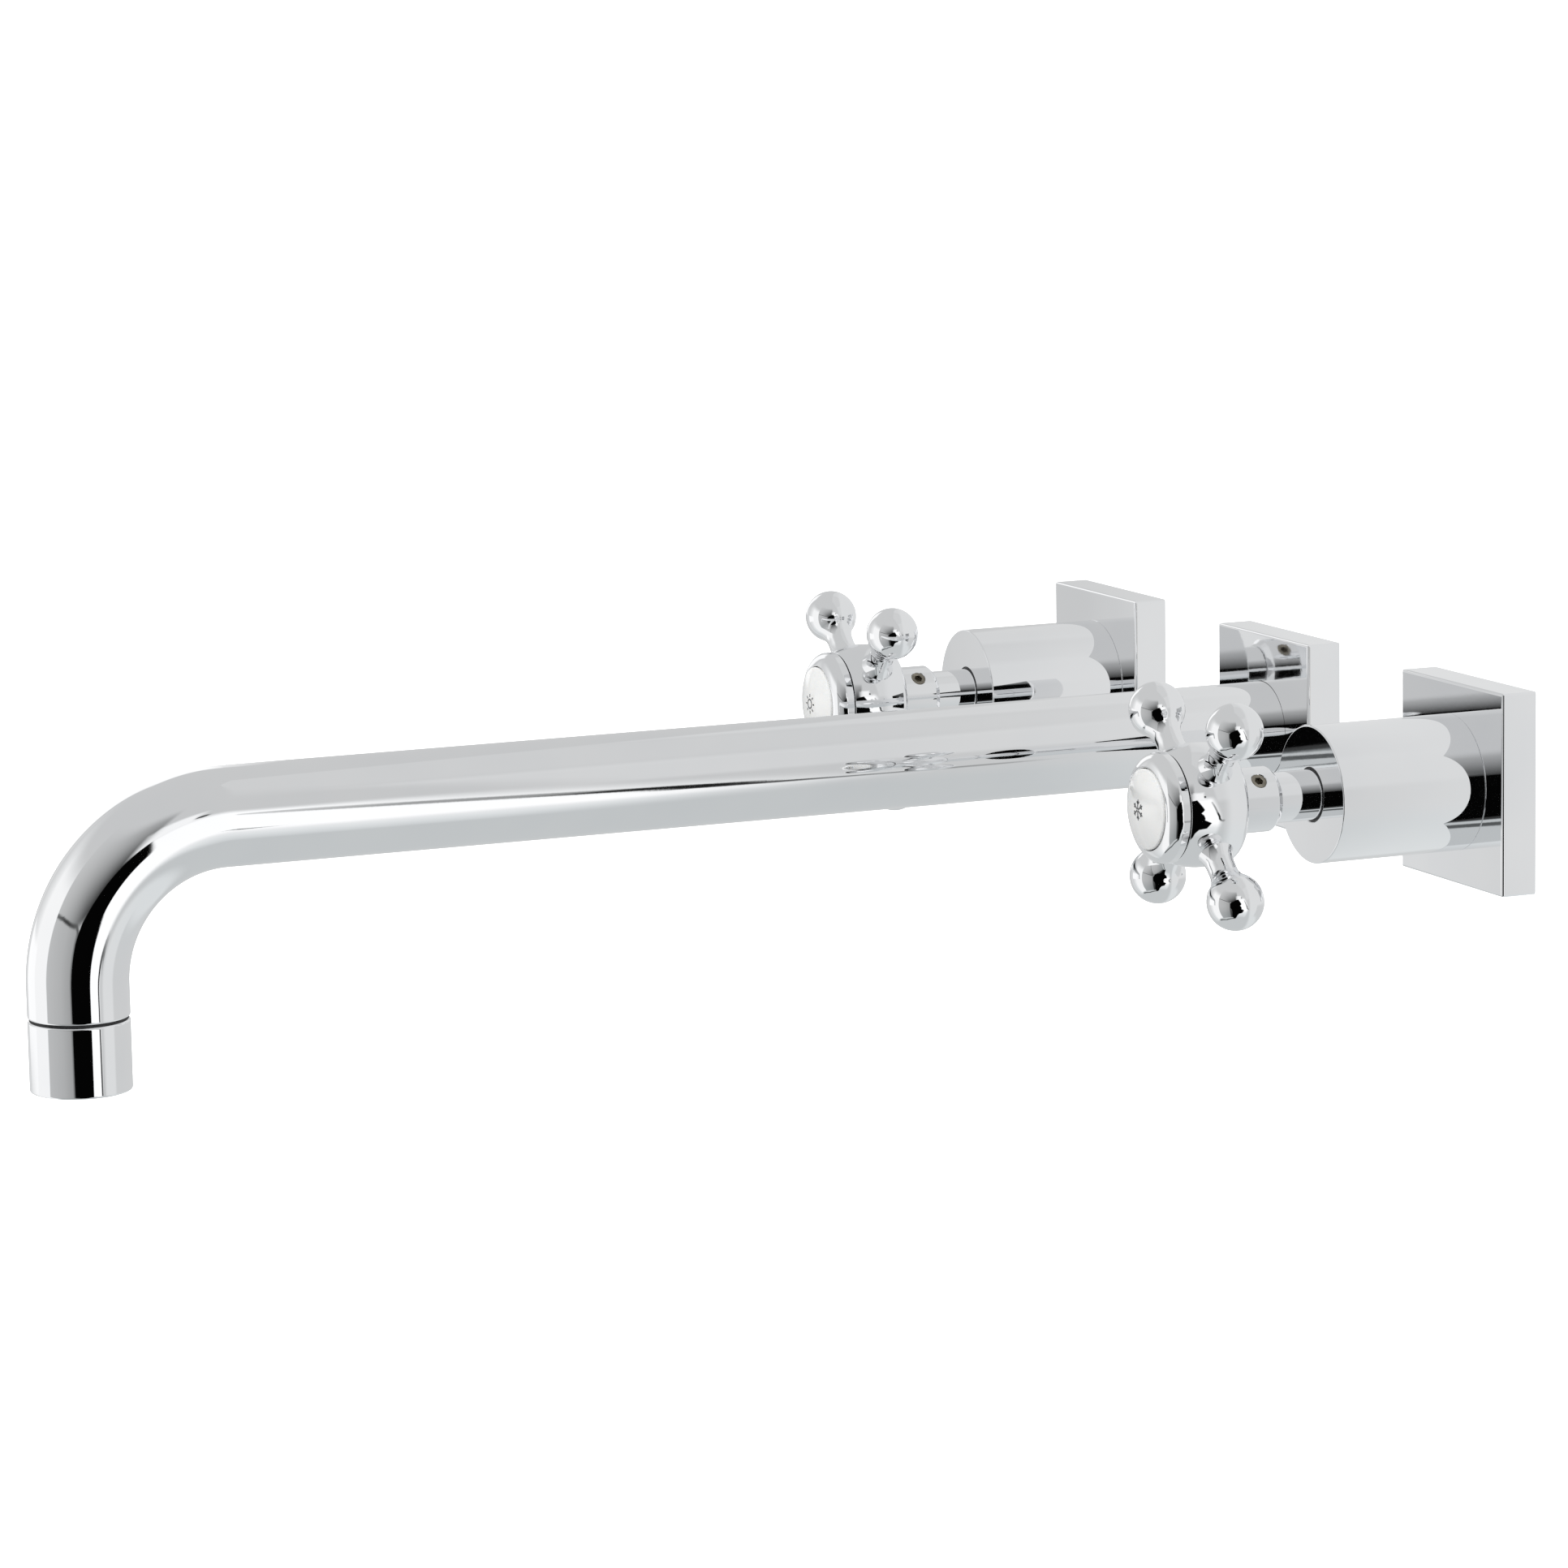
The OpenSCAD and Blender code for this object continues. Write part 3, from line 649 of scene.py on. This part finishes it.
def build_hub(side):
    node = f"{side}_handle_hub"
    radius = size(node).x / 2
    low, high = back(node), front(node)
    barrel = low + COLLAR_H
    crown = (radius - CROWN_R, -centre(f"{side}_arm_1").y)
    back_middle, back_angle = inside_fillet(crown, CROWN_R, BACK_ROUND, barrel + BACK_ROUND)
    nose = (radius - NOSE_R, crown[1])
    edge_middle, nose_angle = inside_fillet(nose, NOSE_R, NOSE_EDGE, high - NOSE_EDGE)
    recess = back(f"{side}_bezel") - RECESS_SPARE
    bore_end = front(f"{side}_stem_extension") + HUB_BORE_SPARE
    neck_start = barrel - COLLAR_NECK_START
    outline = [
        (HUB_BORE, low),
        (COLLAR_R - COLLAR_CHAMFER[0], low, COLLAR_BACK_EDGE),
        (COLLAR_R, low + COLLAR_CHAMFER[1], COLLAR_CHAMFER_EDGE),
        (COLLAR_R, neck_start, THIN_EDGE),
        (COLLAR_R - COLLAR_NECK, neck_start + COLLAR_NECK),
        (COLLAR_R - COLLAR_NECK, barrel),
        arc(back_middle, BACK_ROUND, -90, back_angle, 12),
        arc(crown, CROWN_R, back_angle, 0, 16),
        arc(nose, NOSE_R, 0, nose_angle, 16),
        arc(edge_middle, NOSE_EDGE, nose_angle, 90, 6),
        (RECESS_R, high, RECESS_EDGE),
        (RECESS_R, recess),
        (0, recess),
        (0, bore_end),
        (HUB_BORE, bore_end),
    ]
    screw = centre(f"{side}_set_screw")
    spot = Vector((centre(f"{side}_sleeve").x, screw.y, 0))
    stations = [-screw.y + SCREW_ROW * k for k in range(-4, 5)]
    swept = sweep(outline, side_axis(side), FINE_STEPS, stations)
    swept = drilled(swept, spot, OUT, (screw - spot).normalized(), COLLAR_R, SCREW_HOLE_R,
                    SCREW_HOLE_EDGE, SCREW_HOLE_FLOOR)
    hub = mesh_piece(f"{side}_hub", *swept)
    finish_piece(hub, f"{side}_handle", "chrome", [node])


ARM_R = 3.55 * MM
ARM_FOOT_R = 4.5 * MM
ARM_SUNK = 0.9 * MM
ARM_LIP = 0.5 * MM
ARM_WAIST = 19 * MM
ARM_FILLET = 6 * MM
STUD_R = 2.2 * MM
STUD_LENGTH = 6 * MM
STUD_EDGE = 0.3 * MM


def build_arm(side, number):
    node = f"{side}_arm_{number}"
    ball_r = size(node).y / 2
    hub = Vector((centre(f"{side}_sleeve").x, centre(node).y, 0))
    low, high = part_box(node)
    tip = Vector((
        (high.x if centre(node).x > hub.x else low.x) - hub.x,
        0,
        high.z if centre(node).z > hub.z else low.z,
    ))
    along = tip.normalized()
    ball = (abs(tip.x) - ball_r) / abs(along.x)
    foot = size(f"{side}_handle_hub").x / 2 - ARM_SUNK
    run, rise = ARM_WAIST - foot - ARM_LIP, ARM_FOOT_R - ARM_R
    curve = (run**2 + rise**2) / 2 / rise
    foot_angle = 180 + math.degrees(math.asin(run / curve))
    drop = math.sqrt((ball_r + ARM_FILLET) ** 2 - (ARM_R + ARM_FILLET) ** 2)
    touch = math.degrees(math.atan2(drop, ARM_R + ARM_FILLET))
    stud = foot - STUD_LENGTH
    outline = [
        (0, stud),
        (STUD_R, stud, STUD_EDGE),
        (STUD_R, foot),
        (ARM_FOOT_R, foot),
        arc((ARM_R + curve, ARM_WAIST), curve, foot_angle, 180, 8, hollow=True),
        arc((ARM_R + ARM_FILLET, ball - drop), ARM_FILLET, 180, 180 - touch, 14, hollow=True),
        arc((0, ball), ball_r, -touch, 90, 40),
    ]
    arm = turned(f"{side}_lever_{number}", outline, straight(hub, along, OUT), SMALL_STEPS)
    finish_piece(arm, f"{side}_handle", "chrome", [node])


BEZEL_ROUND = 4.5 * MM
BEZEL_TILT = 15.8
BEZEL_SHOULDER = 1.6 * MM
BEZEL_GAP = 0.4 * MM
BEZEL_INNER_EDGE = 0.3 * MM
BEZEL_SPIGOT_R = 11.5 * MM
BEZEL_BORE_R = 8.6 * MM
BUTTON_SEAT = 5.5 * MM
BUTTON_GAP = 0.15 * MM


def build_bezel(side):
    node = f"{side}_bezel"
    radius = size(node).x / 2
    low, high = back(node), front(node)
    rim = front(f"{side}_handle_hub") + BEZEL_GAP
    seat = high - BUTTON_SEAT
    hole = size(f"{side}_button").x / 2 + BUTTON_GAP
    middle = radius - BEZEL_ROUND * math.cos(math.radians(BEZEL_TILT))
    round_back = high - math.sqrt(BEZEL_ROUND**2 - (hole - middle) ** 2)
    edge_run = hole + BEZEL_INNER_EDGE - middle
    edge_rise = math.sqrt((BEZEL_ROUND - BEZEL_INNER_EDGE) ** 2 - edge_run**2)
    edge_angle = math.degrees(math.atan2(edge_rise, edge_run))
    shoulder = (radius - BEZEL_SHOULDER - middle) / (BEZEL_ROUND - BEZEL_SHOULDER)
    shoulder_angle = math.degrees(math.acos(shoulder))
    shoulder_back = round_back + (BEZEL_ROUND - BEZEL_SHOULDER) * math.sqrt(1 - shoulder**2)
    outline = [
        (BEZEL_BORE_R, low),
        (BEZEL_SPIGOT_R, low),
        (BEZEL_SPIGOT_R, rim),
        (radius, rim, THIN_EDGE),
        arc((radius - BEZEL_SHOULDER, shoulder_back), BEZEL_SHOULDER, 0, shoulder_angle, 6),
        arc((middle, round_back), BEZEL_ROUND, shoulder_angle, edge_angle, 16),
        arc((hole + BEZEL_INNER_EDGE, round_back + edge_rise), BEZEL_INNER_EDGE, edge_angle, 180, 8),
        (hole, seat),
        (BEZEL_BORE_R, seat),
    ]
    bezel = turned(f"{side}_bezel_ring", outline, side_axis(side), FINE_STEPS)
    finish_piece(bezel, f"{side}_handle", "chrome", [node])


BUTTON_PROUD = 0.4 * MM
BUTTON_SOFT = 0.5 * MM
BUTTON_BACK_EDGE = 0.3 * MM
BUTTON_STEPS = 128


def dome(side):
    """A button's radius, and its dome's radius and middle."""
    node = f"{side}_button"
    radius = size(node).x / 2
    edge = front(f"{side}_bezel") + BUTTON_PROUD
    rise = front(node) - edge
    curve = (radius**2 + rise**2) / 2 / rise
    return radius, curve, front(node) - curve


def build_button(side):
    radius, curve, middle = dome(side)
    inner = radius - BUTTON_SOFT
    height = middle + math.sqrt((curve - BUTTON_SOFT) ** 2 - inner**2)
    angle = math.degrees(math.atan2(height - middle, inner))
    outline = [
        (0, back(f"{side}_button")),
        (radius, back(f"{side}_button"), BUTTON_BACK_EDGE),
        arc((inner, height), BUTTON_SOFT, 0, angle, 8),
        arc((0, middle), curve, angle, 90, 16),
    ]
    button = turned(f"{side}_porcelain_button", outline, side_axis(side), BUTTON_STEPS)
    finish_piece(button, f"{side}_handle", "porcelain", [f"{side}_button"])


# ---------------------------------------------------------------- index marks

MARK_WIDTH = 0.42 * MM
MARK_PROUD = 0.03 * MM
MARK_SUNK = 0.12 * MM


def stroke(points, faces, line, lift):
    """Adds one inlaid line: a flat bar along 2D points, laid on the dome by lift(x, z, depth)."""
    line = [Vector(p) for p in line]
    start = len(points)
    for i, p in enumerate(line):
        along = (line[min(i + 1, len(line) - 1)] - line[max(i - 1, 0)]).normalized()
        across = Vector((-along.y, along.x)) * (MARK_WIDTH / 2)
        for q, depth in ((p + across, MARK_PROUD), (p - across, MARK_PROUD),
                         (p - across, -MARK_SUNK), (p + across, -MARK_SUNK)):
            points.append(lift(q.x, q.y, depth))
    for i in range(len(line) - 1):
        a, b = start + 4 * i, start + 4 * (i + 1)
        faces.extend([a + k, b + k, b + (k + 1) % 4, a + (k + 1) % 4] for k in range(4))
    end = start + 4 * (len(line) - 1)
    faces.append([start + k for k in range(4)])
    faces.append([end + 3 - k for k in range(4)])


def spoke(angle, inner, outer, steps=4):
    way = Vector((math.cos(angle), math.sin(angle)))
    return [way * (inner + (outer - inner) * i / steps) for i in range(steps + 1)]


def flake_lines():
    """Six arms with a pair of barbs on each: cold."""
    lines = []
    for k in range(6):
        angle = math.radians(30 + 60 * k)
        lines.append(spoke(angle, 0.25 * MM, 2.6 * MM))
        root = Vector((math.cos(angle), math.sin(angle))) * 1.5 * MM
        for lean in (-45, 45):
            barb = angle + math.radians(lean)
            lines.append([root + p for p in spoke(barb, 0.0, 0.85 * MM, 2)])
    return lines


def sun_lines():
    """A ring with eight rays: hot."""
    turns = [2 * math.pi * i / 24 for i in range(25)]
    ring = [Vector((math.cos(t), math.sin(t))) * 1.25 * MM for t in turns]
    return [ring] + [spoke(math.radians(45 * k), 1.9 * MM, 2.75 * MM, 3) for k in range(8)]


def build_mark(side):
    _, curve, middle = dome(side)
    x = centre(f"{side}_sleeve").x

    def lift(right, up, depth):
        reach = middle + math.sqrt(curve**2 - right**2 - up**2) + depth
        return Vector((x + right, -reach, up))

    points, faces = [], []
    for line in flake_lines() if side == "cold" else sun_lines():
        stroke(points, faces, line, lift)
    mark = mesh_piece(f"{side}_index_mark", points, faces)
    finish_piece(mark, f"{side}_handle", "black_plastic", look=INK)


# ---------------------------------------------------------------- studio
#
# Polished metal shows only what stands round it, so the studio is a closed dome with its light
# and dark panels painted on. Directions are in degrees: turn from the camera's own direction,
# positive to the camera's right, and height above the horizon.

CAMERA_TURN = 66.983
CAMERA_HEIGHT = 9.238
CAMERA_ROLL = -0.979
CAMERA_DISTANCE = 1.5085
CAMERA_TARGET = Vector((0.00812, -0.15246, -0.00251))
CAMERA_LENS = 134.69
DOME_R = 1.0
DOME_MIDDLE = Vector((0.1016, -0.08, 0))
FLOOR_Z = -0.35
FLOOR_HALF = 40.0
MIRROR = 0.9
COOL_CAST = (-0.8, 0, 0.2)
BASE_TONE = 198

# Corners as (turn, height), runs of tones as (place, tone), and the slant as (turn, height, tone)
BLACK_PANEL = [(-24, 1), (-21, 6), (-5, 14), (2, 17), (8, 18), (12, 12), (17, 4), (19, 0), (17, -3),
               (14, -6), (18, -10), (20, -15), (20, -19), (31, -24), (25, -34), (12, -37), (5, -45),
               (2, -52), (-4, -58), (-14, -59), (-18, -47), (-16, -30), (-18, -20), (-24, -14)]
CARD_TOP = [(-72, 13), (-60, 12.5), (-50, 11), (-40, 9), (-30, 7), (-24, 4)]
DARK_BAND = [(-103, -53), (-85, -56), (-60, -60), (-30, -58), (-12, -57)]
SLANT = [(31, 12, 200), (34, 5, 160), (38, -5, 145), (40, -9, 25), (42, -13, 25), (43, -17, 40),
         (46, -20, 130), (50, -21, 170)]
STRIP_FADE = [(-132, 200), (-130, 203), (-120, 216), (-110, 230), (-103, 244)]
CARD_TINT = [(-70, 186), (-45, 176), (-28, 160), (-23, 84), (-12, 60)]
CARD_LINE = [(-72, 110), (-52, 60), (-46, 60), (-30, 90)]
WHITE_FADE = [(-52, 200), (-45, 213), (-38, 224), (-32, 232), (-25, 255)]


def tone(value):
    """Linear light of a display value from 0 to 255."""
    v = value / 255
    return np.where(v <= 0.04045, v / 12.92, ((v + 0.055) / 1.055) ** 2.4)


def edge_distance(turn, height, corners, closed=True):
    """Degrees from a point to the nearest side of a polygon or line."""
    nearest = np.full(turn.shape, 1e9)
    pairs = list(zip(corners, corners[1:] + corners[:1] if closed else corners[1:]))
    for (x0, y0), (x1, y1) in pairs:
        narrow = math.cos(math.radians((y0 + y1) / 2))
        dx, dy = (x1 - x0) * narrow, y1 - y0
        px, py = (turn - x0) * narrow, height - y0
        t = np.clip((px * dx + py * dy) / (dx * dx + dy * dy), 0, 1)
        nearest = np.minimum(nearest, np.hypot(px - t * dx, py - t * dy))
    return nearest


def within(turn, height, corners):
    inside = np.zeros(turn.shape, bool)
    for (x0, y0), (x1, y1) in zip(corners, corners[1:] + corners[:1]):
        if y0 == y1:
            continue
        crosses = (y0 > height) != (y1 > height)
        inside ^= crosses & (turn < (x1 - x0) * (height - y0) / (y1 - y0) + x0)
    return inside


def panel(turn, height, corners, soft=1.0):
    """1 inside a polygon and 0 outside, easing over soft degrees."""
    distance = edge_distance(turn, height, corners)
    signed = np.where(within(turn, height, corners), distance, -distance)
    return np.clip(signed / soft + 0.5, 0, 1)


def box_corners(left, right, low, high):
    return [(left, low), (right, low), (right, high), (left, high)]


def ease(value, start, end):
    t = np.clip((value - start) / (end - start), 0, 1)
    return t * t * (3 - 2 * t)


def along_points(value, points):
    """A value read off a run of (place, value) points."""
    places, values = zip(*points)
    return np.interp(value, places, values)


def between(value, rise, fall):
    """1 between two places, easing up over the first pair and down over the second."""
    return ease(value, *rise) * (1 - ease(value, *fall))


def studio(turn, height):
    """Display value seen in each direction."""
    value = BASE_TONE + 7 * ease(height, 45, 65) * ease(turn, 25, 45)
    value = value - 3 * ease(height, -20, -50)
    value = value + 12 * between(height, (8, 18), (50, 60)) * ease(turn, 36, 42)

    def paint(mask, shade):
        nonlocal value
        value = value + (shade - value) * mask

    # A wide soft disc far to the right, a little duller low down
    spread = np.degrees(np.arccos(np.cos(np.radians(turn - 115)) * np.cos(np.radians(height))))
    dip = ease(turn, 86, 94) * between(height, (-8, -16), (-34, -44))
    paint(1 - ease(spread, 57, 67), 218 - 16 * dip)

    # The tall bright card far to the left, with a pale strip behind it and two white windows
    paint(between(turn, (-140, -136.5), (-128, -124)) * between(height, (-50, -40), (0, 30)), 216)
    strip = between(turn, (-132, -128), (-73.5, -72)) * between(height, (-52, -48), (18, 34))
    paint(strip, along_points(turn, STRIP_FADE))
    paint(between(turn, (-128, -124), (-100, -98)) * between(height, (-14, -11), (-1, 2)), 252)
    paint(between(turn, (-162, -159), (-145, -142)) * between(height, (-3, 0), (26, 31)), 252)

    # Shade that gathers towards the black panel
    black = edge_distance(turn, height, BLACK_PANEL)
    shade = 60 + 140 * (1 - np.exp(-black / 20))
    paint(between(height, (4, 9), (40, 52)) * between(turn, (-73, -71.5), (0, 6)),
          np.minimum(shade, value))

    # The grey card left of the black panel, with a dark line along its top
    above = height - along_points(turn, CARD_TOP)
    card = between(turn, (-73, -71.5), (-14, -12)) * ease(height, -53, -51)
    paint(card * (1 - ease(above, -0.4, 0.4)),
          along_points(turn, CARD_TINT) - 22 * ease(height, -5, -50))
    edge = edge_distance(turn, height, CARD_TOP, closed=False)
    paint(1 - ease(edge, 0.35, 1.0), along_points(turn, CARD_LINE))

    # The white card right of the black panel, fading low down, and two pale windows above it
    right = 33 + (22 - np.clip(height, -20, 22)) * 13 / 42
    patch = ease(turn, -2, 4) * (1 - ease(turn - right, -6, 5)) * between(height, (-54, -48), (15, 25))
    paint(patch, along_points(height, WHITE_FADE))
    paint(panel(turn, height, box_corners(3, 20, 18, 31), 4.0), 245)
    paint(panel(turn, height, box_corners(-2, 6, 18, 30), 4.0) * 0.7, 228)
    paint(panel(turn, height, BLACK_PANEL, 1.0), 4)

    # Two small spots, a dark band low down and a slanted line
    paint(1 - ease(np.hypot(turn - 21, height - 23), 1.2, 2.4), 70)
    paint(1 - ease(np.hypot(turn - 50, height + 20), 1.2, 2.8), 170)
    band = edge_distance(turn, height, DARK_BAND, closed=False)
    paint(1 - ease(band, 1.2, 2.4), 90)
    slant = edge_distance(turn, height, [(t, h) for t, h, _ in SLANT], closed=False)
    paint(1 - ease(slant, 0.8, 1.9), along_points(-height, [(-h, v) for _, h, v in SLANT]))
    return value


def grid(low, high, fine_low, fine_high, coarse, fine):
    """Steps over a range that are finer in its middle part."""
    return np.concatenate([
        np.arange(low, fine_low, coarse),
        np.arange(fine_low, fine_high, fine),
        np.arange(fine_high, high, coarse),
    ])


def build_dome():
    turns = grid(-180, 180, -112, 62, 2.0, 0.5)
    heights = grid(-89, 90, -63, 37, 2.0, 0.5)
    turn, height = np.meshgrid(turns, heights)
    azimuth, up = np.radians(turn + CAMERA_TURN), np.radians(height)
    way = np.stack([np.sin(azimuth) * np.cos(up), -np.cos(azimuth) * np.cos(up), np.sin(up)], -1)
    points = (way.reshape(-1, 3) * DOME_R + np.array(DOME_MIDDLE)).tolist()
    rows, columns = turn.shape
    faces = []
    for i in range(rows - 1):
        for j in range(columns):
            k = (j + 1) % columns
            faces.append([i * columns + j, (i + 1) * columns + j,
                          (i + 1) * columns + k, i * columns + k])
    faces.append(list(range(columns)))
    faces.append([(rows - 1) * columns + j for j in reversed(range(columns))])
    value = studio(turn, height)
    cool = ease(value, 250, 222) * ease(value, 20, 130) * (1 + 3 * ease(height, -10, -50))
    shades = value[..., None] + cool[..., None] * np.array(COOL_CAST)
    light = tone(shades) / MIRROR
    colours = np.concatenate([light, np.ones((rows, columns, 1))], -1)
    surround = mesh_piece("studio_dome", points, faces)
    attribute = surround.data.color_attributes.new("light", "FLOAT_COLOR", "POINT")
    attribute.data.foreach_set("color", colours.astype(np.float32).ravel())
    look = bpy.data.materials.new("studio_light")
    look.use_nodes = True
    look.node_tree.nodes.clear()
    source = look.node_tree.nodes.new("ShaderNodeAttribute")
    source.attribute_name = "light"
    glow = look.node_tree.nodes.new("ShaderNodeEmission")
    output = look.node_tree.nodes.new("ShaderNodeOutputMaterial")
    look.node_tree.links.new(source.outputs["Color"], glow.inputs["Color"])
    look.node_tree.links.new(glow.outputs["Emission"], output.inputs["Surface"])
    look.cycles.emission_sampling = "NONE"
    surround.data.materials.append(look)
    surround.visible_camera = False
    surround.visible_shadow = False


def build_floor():
    """The pale floor. Only the camera sees it, so the metal shows the dome alone."""
    corners = [(-1, -1), (1, -1), (1, 1), (-1, 1)]
    points = [(x * FLOOR_HALF, y * FLOOR_HALF, FLOOR_Z) for x, y in corners]
    floor = mesh_piece("floor", points, [[0, 1, 2, 3]])
    look = Look("pale_floor", Roughness=0.9)
    look.surface.inputs["Specular IOR Level"].default_value = 0.0
    look.surface.inputs["Emission Strength"].default_value = 1.0
    shade = look.ramp(look.noise(3), (0.3, (0.99, 0.99, 0.99)), (0.7, (1, 1, 1)))
    look.link(shade, "Emission Color")
    floor.data.materials.append(look.material)
    for flag in ("visible_diffuse", "visible_glossy", "visible_transmission", "visible_shadow"):
        setattr(floor, flag, False)


def aim(thing, location, target):
    thing.location = location
    thing.rotation_mode = "QUATERNION"
    thing.rotation_quaternion = (target - location).to_track_quat("-Z", "Y")


def camera_frame():
    """The camera's place and its right, up and back directions."""
    a, e, roll = (math.radians(v) for v in (CAMERA_TURN, CAMERA_HEIGHT, CAMERA_ROLL))
    away = Vector((math.sin(a) * math.cos(e), -math.cos(a) * math.cos(e), math.sin(e)))
    right = Vector((math.cos(a), math.sin(a), 0))
    up = away.cross(right)
    turned_right = right * math.cos(roll) + up * math.sin(roll)
    turned_up = up * math.cos(roll) - right * math.sin(roll)
    return CAMERA_TARGET + away * CAMERA_DISTANCE, turned_right, turned_up, away


def build_camera():
    place, right, up, away = camera_frame()
    data = bpy.data.cameras.new("camera")
    data.lens = CAMERA_LENS
    data.sensor_width = 36
    camera = bpy.data.objects.new("camera", data)
    bpy.context.scene.collection.objects.link(camera)
    rows = [(right[i], up[i], away[i], place[i]) for i in range(3)]
    camera.matrix_world = Matrix([*rows, (0, 0, 0, 1)])
    bpy.context.scene.camera = camera


def build_lights():
    """Soft light for the porcelain and the other plain surfaces. The metal doesn't mirror it."""
    middle = (cad_low + cad_high) / 2
    place, right, up, _ = camera_frame()
    for name, shift, power, width in (
        ("key", right * -0.7 + up * 0.9, 12.5, 0.9),
        ("fill", right * 0.9 + up * 0.2, 6.0, 1.2),
    ):
        data = bpy.data.lights.new(name, "AREA")
        data.shape = "SQUARE"
        data.size = width
        data.energy = power
        lamp = bpy.data.objects.new(name, data)
        bpy.context.scene.collection.objects.link(lamp)
        aim(lamp, place * 0.75 + shift, middle)
        lamp.visible_glossy = False
        lamp.visible_camera = False


def build_world():
    world = bpy.data.worlds.new("white")
    world.use_nodes = True
    world.node_tree.nodes["Background"].inputs["Color"].default_value = (1, 1, 1, 1)
    bpy.context.scene.world = world
    bpy.context.scene.view_settings.view_transform = "Standard"
    bpy.context.scene.view_settings.look = "None"


# ---------------------------------------------------------------- all of it

dress_frame()
build_tube()
build_outlet_ring()
for side in SIDES:
    build_sleeve(side)
    build_stem(side)
    build_hub(side)
    for number in range(1, 5):
        build_arm(side, number)
    build_bezel(side)
    build_button(side)
    build_mark(side)
build_world()
build_dome()
build_floor()
build_lights()
build_camera()
